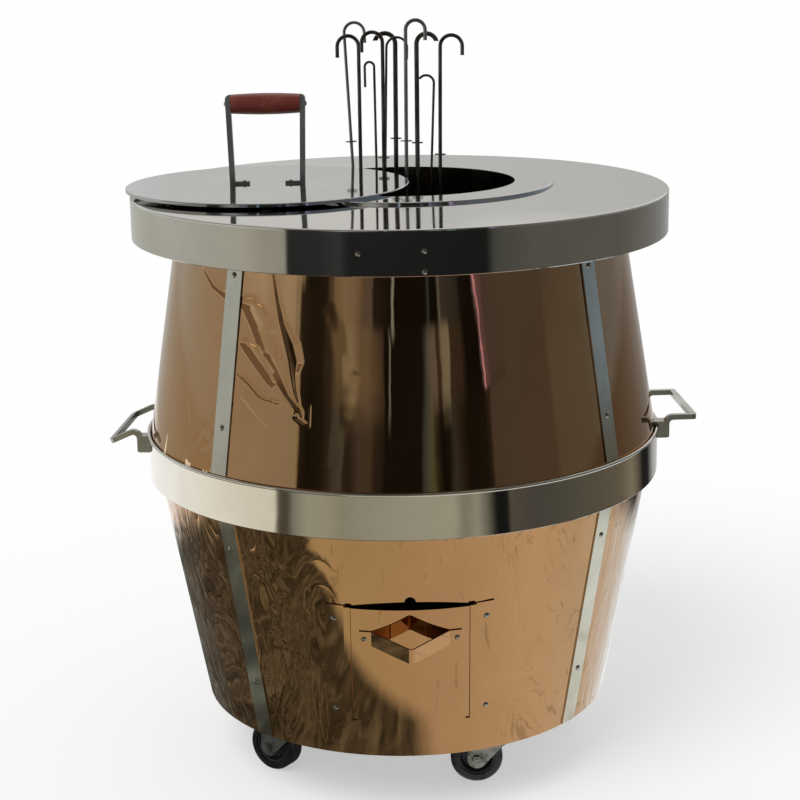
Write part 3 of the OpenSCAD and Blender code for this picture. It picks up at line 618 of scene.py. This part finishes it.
SKY = [(-180, (0.64, 0.63, 0.61)), (-173.0, (0.66, 0.65, 0.63)), (-172.6, 0.48),
       (-172.2, (0.70, 0.71, 0.71)), (-135, (0.68, 0.70, 0.70)), (-115, (0.32, 0.29, 0.28)),
       (-48, (0.32, 0.28, 0.26)), (-40, 0.12), (40, 0.10), (120, 0.3), (145, (0.80, 0.79, 0.76)),
       (172, (0.92, 0.90, 0.87)), (175, (1.02, 1.0, 0.96)), (177.4, (1.02, 1.0, 0.96)),
       (178.2, (0.64, 0.63, 0.61)), (180, (0.64, 0.63, 0.61))]
FRONT_LOW = [(-52, (0.56, 0.60, 0.64)), (-48, (0.52, 0.62, 0.62)), (-47.2, (0.48, 0.50, 0.42)),
             (-46.5, 0.04), (-43, 0.022), (-37, 0.03), (-33, 0.07), (-31, (0.11, 0.14, 0.16)),
             (-27.5, (0.14, 0.17, 0.21)), (-26, 0.06), (-22.4, 0.05), (-20.6, 0.08),
             (-18.8, (0.11, 0.12, 0.15)), (-13.8, 0.11), (-12.3, 0.05), (-9.8, 0.04), (-8.3, 0.018),
             (7.6, 0.018), (9, (0.07, 0.11, 0.18)), (10.8, (0.12, 0.19, 0.23)),
             (12.8, (0.15, 0.22, 0.16)), (14.2, 0.07), (16, 0.03), (17.6, 0.012), (20.6, 0.02),
             (23, (0.07, 0.09, 0.11)), (25.5, 0.045), (28.5, 0.02), (37.5, 0.025), (40, 0.06),
             (41, (0.13, 0.135, 0.16)), (48, (0.14, 0.15, 0.17))]
FRONT_MID = [(-52, (0.50, 0.56, 0.62)), (-49, (0.46, 0.52, 0.52)), (-48.3, 0.05), (-41, 0.03),
             (-37.6, 0.035), (-36.6, 0.065), (-34, 0.07), (-31.6, 0.15), (-30.4, (0.24, 0.26, 0.22)),
             (-26.6, (0.26, 0.27, 0.23)), (-25.6, (0.40, 0.45, 0.44)), (-23, (0.47, 0.53, 0.54)),
             (-19.4, 0.36), (-17.5, 0.27), (-14.8, 0.28), (-11.6, 0.17), (-9, 0.10), (-8.2, 0.015),
             (-6.8, 0.015), (-6.3, (0.45, 0.65, 0.9)), (-5.6, 0.015), (8, 0.02),
             (10.4, (0.08, 0.13, 0.2)), (12.3, (0.20, 0.25, 0.33)), (16, (0.25, 0.28, 0.34)), (17, 0.08),
             (18.3, 0.08), (19.2, (0.35, 0.44, 0.49)), (21.9, (0.37, 0.50, 0.57)), (22.6, 0.08),
             (27.4, 0.07), (29, 0.014)]
FRONT_HIGH = [(-52, (0.66, 0.71, 0.82)), (-49, (0.58, 0.66, 0.74)), (-47.4, (0.44, 0.52, 0.50)),
              (-46, 0.05), (-43, 0.025), (-36.4, 0.035), (-34.8, 0.13), (-32.6, 0.18),
              (-31.4, (0.35, 0.33, 0.30)), (-25.6, (0.43, 0.46, 0.48)), (-21.5, 0.39), (-19, 0.30),
              (-17.4, 0.21), (-13.2, (0.18, 0.21, 0.28)), (-12.2, 0.04), (-5.2, 0.02),
              (-4.7, (0.45, 0.65, 0.9)), (-4.1, (0.45, 0.65, 0.9)), (-3.6, 0.015), (11.6, 0.015),
              (12.9, (0.07, 0.12, 0.18)), (14, 0.014), (17.8, 0.014), (18.6, (0.26, 0.36, 0.5)),
              (19.8, (0.09, 0.1, 0.14)), (26.8, (0.05, 0.07, 0.1)), (28.2, 0.02), (33.2, 0.014),
              (48, 0.02)]
FLOOR_NEAR = [(-180, 0.9), (-60, 0.85), (-30, (0.80, 0.80, 0.68)), (-8, (0.82, 0.80, 0.70)),
              (12, (0.90, 0.86, 0.84)), (30, (0.95, 0.95, 0.93)), (55, (1.08, 1.08, 1.10)),
              (78, (1.0, 1.06, 1.08)), (95, (1.06, 1.16, 1.24)), (120, (1.0, 1.12, 1.2)), (180, 0.9)]
FLOOR_MID = [(-180, 0.9), (-135, 1.2), (-110, 1.3), (-84, (1.18, 1.14, 1.04)), (-53, (0.98, 0.92, 0.80)),
             (-51.5, (0.92, 0.86, 0.72)), (-50.5, (0.11, 0.09, 0.06)), (-46, (0.11, 0.09, 0.06)),
             (-44, (0.30, 0.28, 0.23)), (-38, (0.46, 0.44, 0.33)), (-30, (0.47, 0.43, 0.34)),
             (-24, (0.39, 0.37, 0.28)), (-8, (0.46, 0.44, 0.36)), (18, (0.51, 0.48, 0.38)),
             (20, (0.50, 0.47, 0.38)), (23, (0.30, 0.28, 0.22)), (28, (0.43, 0.40, 0.32)),
             (33, (0.15, 0.14, 0.11)), (36, 0.012), (41, 0.012), (42, (0.13, 0.11, 0.09)),
             (52, (0.10, 0.09, 0.08)), (78, (0.13, 0.12, 0.09)), (101, (0.18, 0.15, 0.11)),
             (112, (0.3, 0.25, 0.18)), (122, 0.02), (130, 0.02), (140, 0.5), (180, 0.9)]
FLOOR_FAR = [(-180, 0.6), (-145, (0.57, 0.57, 0.52)), (-105, (0.60, 0.60, 0.55)),
             (-63, (0.55, 0.53, 0.46)), (-57, (0.47, 0.45, 0.39)), (-45.8, (0.44, 0.42, 0.35)),
             (-45.0, 0.03), (-32, 0.035), (-24, 0.05), (-20, 0.02), (34, 0.015),
             (37, (0.09, 0.09, 0.08)), (56, (0.135, 0.13, 0.11)), (100, (0.15, 0.14, 0.12)),
             (116, (0.20, 0.19, 0.18)), (140, 0.28), (180, 0.6)]
EDGE = [(28, (0, 0, 0)), (33.6, (0, 0, 0)), (34.0, (0.16, 0.17, 0.30)), (34.7, (0.17, 0.15, 0.30)),
        (34.9, (1.3, 0.9, 1.7)), (35.3, (1.1, 0.7, 1.4)), (35.6, (0.24, 0.19, 0.36)),
        (37.6, (0.20, 0.16, 0.26)), (38.6, (0.13, 0.13, 0.17)), (48, (0.14, 0.155, 0.19))]


def studio_floor():
    """Wide pale floor. Mirrors see it glow in four painted rings by distance, with a patchy painted shadow
    of the drum at the left front.
    """
    me = bpy.data.meshes.new("studio_floor")
    s = 60.0
    me.from_pydata([(-s, -s, 0), (s, -s, 0), (s, s, 0), (-s, s, 0)], [], [(0, 1, 2, 3)])
    o = bpy.data.objects.new("studio_floor", me)
    bpy.context.scene.collection.objects.link(o)
    m = bpy.data.materials.new("studio_floor")
    m.use_nodes = True
    t = m.node_tree
    t.nodes.clear()
    co = add(t, "ShaderNodeTexCoord")
    place = use(t, DRUM_PLACE, Point=co.outputs["Object"])
    turn = calc(t, "ADD", calc(t, "DIVIDE", place.outputs["Turn"], TAU), 0.5)
    r = place.outputs["Radius"]
    far, mid, near, low = (ramp(t, turn, [(at(d), c) for d, c in stops])
                           for stops in (FLOOR_FAR, FLOOR_MID, FLOOR_NEAR, AROUND_LOW))
    sep = add(t, "ShaderNodeSeparateXYZ")
    wire(t, co.outputs["Object"], sep.inputs[0])
    x, y, _ = sep.outputs
    # Painted shadow of the drum at the left front, seen only in mirrors and mottled by the dim tones; the
    # rest of the near ring gets darker patches
    side = calc(t, "ADD", calc(t, "MULTIPLY", calc(t, "ADD", x, 0.42), -0.38),
                calc(t, "MULTIPLY", calc(t, "ADD", y, 0.70), 0.925))
    shade = calc(t, "MULTIPLY", span(t, side, -0.03, 0.03), span(t, x, 0.10, 0.0))
    yard = add(t, "ShaderNodeMapping")
    yard.inputs["Rotation"].default_value = (0, 0, 0.7)
    yard.inputs["Scale"].default_value = (1.0, 0.35, 1.0)
    wire(t, co.outputs["Object"], yard.inputs["Vector"])
    patch = noise(t, yard.outputs[0], 17.0, 3.0, 0.55, 1.2)
    dim = ramp(t, patch, [(0.30, (0.05, 0.055, 0.045)), (0.50, (0.125, 0.13, 0.12)),
                          (0.68, (0.25, 0.27, 0.25))])
    lit = mix(t, span(t, patch, 0.40, 0.30, 0.0, 0.45), near, (0.42, 0.40, 0.32, 1))
    near = mix(t, shade, lit, dim)
    seen = mix(t, span(t, r, 1.0, 1.25), near, mid)
    seen = mix(t, span(t, r, 2.4, 3.2), seen, far)
    seen = mix(t, span(t, r, 7.0, 10.0), seen, low)
    mirror = add(t, "ShaderNodeEmission")
    wire(t, seen, mirror.inputs[0])
    plain = add(t, "ShaderNodeBsdfDiffuse", {"Color": (0.56, 0.56, 0.56, 1)})
    glow = add(t, "ShaderNodeEmission", {"Color": (1, 1, 1, 1), "Strength": 0.46})
    both = add(t, "ShaderNodeAddShader")
    wire(t, plain.outputs[0], both.inputs[0])
    wire(t, glow.outputs[0], both.inputs[1])
    path = add(t, "ShaderNodeLightPath")
    pale = add(t, "ShaderNodeBsdfDiffuse", {"Color": (0.8, 0.8, 0.8, 1)})
    sees = add(t, "ShaderNodeMixShader")
    wire(t, path.outputs["Is Camera Ray"], sees.inputs[0])
    wire(t, pale.outputs[0], sees.inputs[1])
    wire(t, both.outputs[0], sees.inputs[2])
    last = add(t, "ShaderNodeMixShader")
    wire(t, path.outputs["Is Glossy Ray"], last.inputs[0])
    wire(t, sees.outputs[0], last.inputs[1])
    wire(t, mirror.outputs[0], last.inputs[2])
    wire(t, last.outputs[0], add(t, "ShaderNodeOutputMaterial").inputs[0])
    me.materials.append(m)


def studio_world():
    """Plain light all round. Mirrors see a bright sky over a broken horizon."""
    w = bpy.data.worlds.new("studio")
    w.use_nodes = True
    bpy.context.scene.world = w
    t = w.node_tree
    t.nodes.clear()
    co = add(t, "ShaderNodeTexCoord")
    place = use(t, DRUM_PLACE, Point=co.outputs["Generated"])
    sep = add(t, "ShaderNodeSeparateXYZ")
    wire(t, co.outputs["Generated"], sep.inputs[0])
    rise = sep.outputs[2]

    degrees = calc(t, "MULTIPLY", place.outputs["Turn"], 360 / TAU)
    wobble = calc(t, "SUBTRACT", noise(t, co.outputs["Generated"], 26.0, 2.0, 0.5), 0.5)
    degrees = calc(t, "ADD", degrees, calc(t, "MULTIPLY", wobble, 2.4))

    def table(stops, start=-180, end=180, turn=degrees):
        along = span(t, turn, start, end, smooth=False)
        return ramp(t, along, [(at(d, start, end), c) for d, c in stops])

    low, high, sky = (table(v) for v in (AROUND_LOW, AROUND_HIGH, SKY))
    front = calc(t, "MULTIPLY", calc(t, "GREATER_THAN", degrees, FRONT[0]),
                 calc(t, "LESS_THAN", degrees, FRONT[1]))
    front_low, front_mid, front_high = (table(v, *FRONT) for v in (FRONT_LOW, FRONT_MID, FRONT_HIGH))
    low = mix(t, front, low, front_low)
    low_high = mix(t, span(t, rise, 0.025, 0.11), low, high)
    lean = calc(t, "MULTIPLY", calc(t, "SUBTRACT", 0.125, rise), 60.0)
    shifted = calc(t, "SUBTRACT", degrees, lean)
    violet_edge = table(EDGE, *EDGE_SPAN, turn=shifted)
    ahead = mix(t, span(t, rise, 0.05, 0.08), low, front_mid)
    ahead = mix(t, span(t, rise, 0.100, 0.116), ahead, front_high)
    past_edge = calc(t, "MULTIPLY", calc(t, "GREATER_THAN", shifted, 33.6), span(t, rise, 0.058, 0.064))
    ahead = mix(t, past_edge, ahead, violet_edge)
    seen = mix(t, front, low_high, ahead)
    roof = calc(t, "MULTIPLY_ADD", calc(t, "GREATER_THAN", degrees, -47.0), 0.042, 0.110)
    seen = mix(t, span(t, calc(t, "SUBTRACT", rise, roof), 0.0, 0.025), seen, sky)
    path = add(t, "ShaderNodeLightPath")
    lit = mix(t, path.outputs["Is Glossy Ray"], (0.62, 0.62, 0.62, 1), seen)
    lit = mix(t, path.outputs["Is Camera Ray"], lit, (1, 1, 1, 1))
    bg = add(t, "ShaderNodeBackground")
    wire(t, lit, bg.inputs[0])
    wire(t, bg.outputs[0], add(t, "ShaderNodeOutputWorld").inputs[0])


def key_light():
    """Large soft sun from the upper left front; mirrors don't see it."""
    d = bpy.data.lights.new("key", "SUN")
    d.energy = 1.35
    d.angle = math.radians(35)
    o = bpy.data.objects.new("key", d)
    o.rotation_euler = (math.radians(38), 0, math.radians(-35))
    o.visible_glossy = False
    bpy.context.scene.collection.objects.link(o)


def camera():
    """Long lens from the front, 14 degrees down, with the small tilt of a hand-held view."""
    d = bpy.data.cameras.new("camera")
    d.sensor_width = 36.0
    d.lens = 36.0 * 1856.5 / 800
    d.shift_x = -0.00316
    d.clip_end = 200
    o = bpy.data.objects.new("camera", d)
    o.location = (0, -2.8153, 1.28293)
    o.rotation_mode = "QUATERNION"
    look = Euler((math.radians(90 - 14.3885), 0, 0)).to_quaternion()
    o.rotation_quaternion = look @ Quaternion((0, 0, 1), math.radians(-0.8764))
    bpy.context.scene.collection.objects.link(o)
    bpy.context.scene.camera = o


studio_floor()
studio_world()
key_light()
camera()
bpy.context.scene.view_settings.view_transform = "Standard"
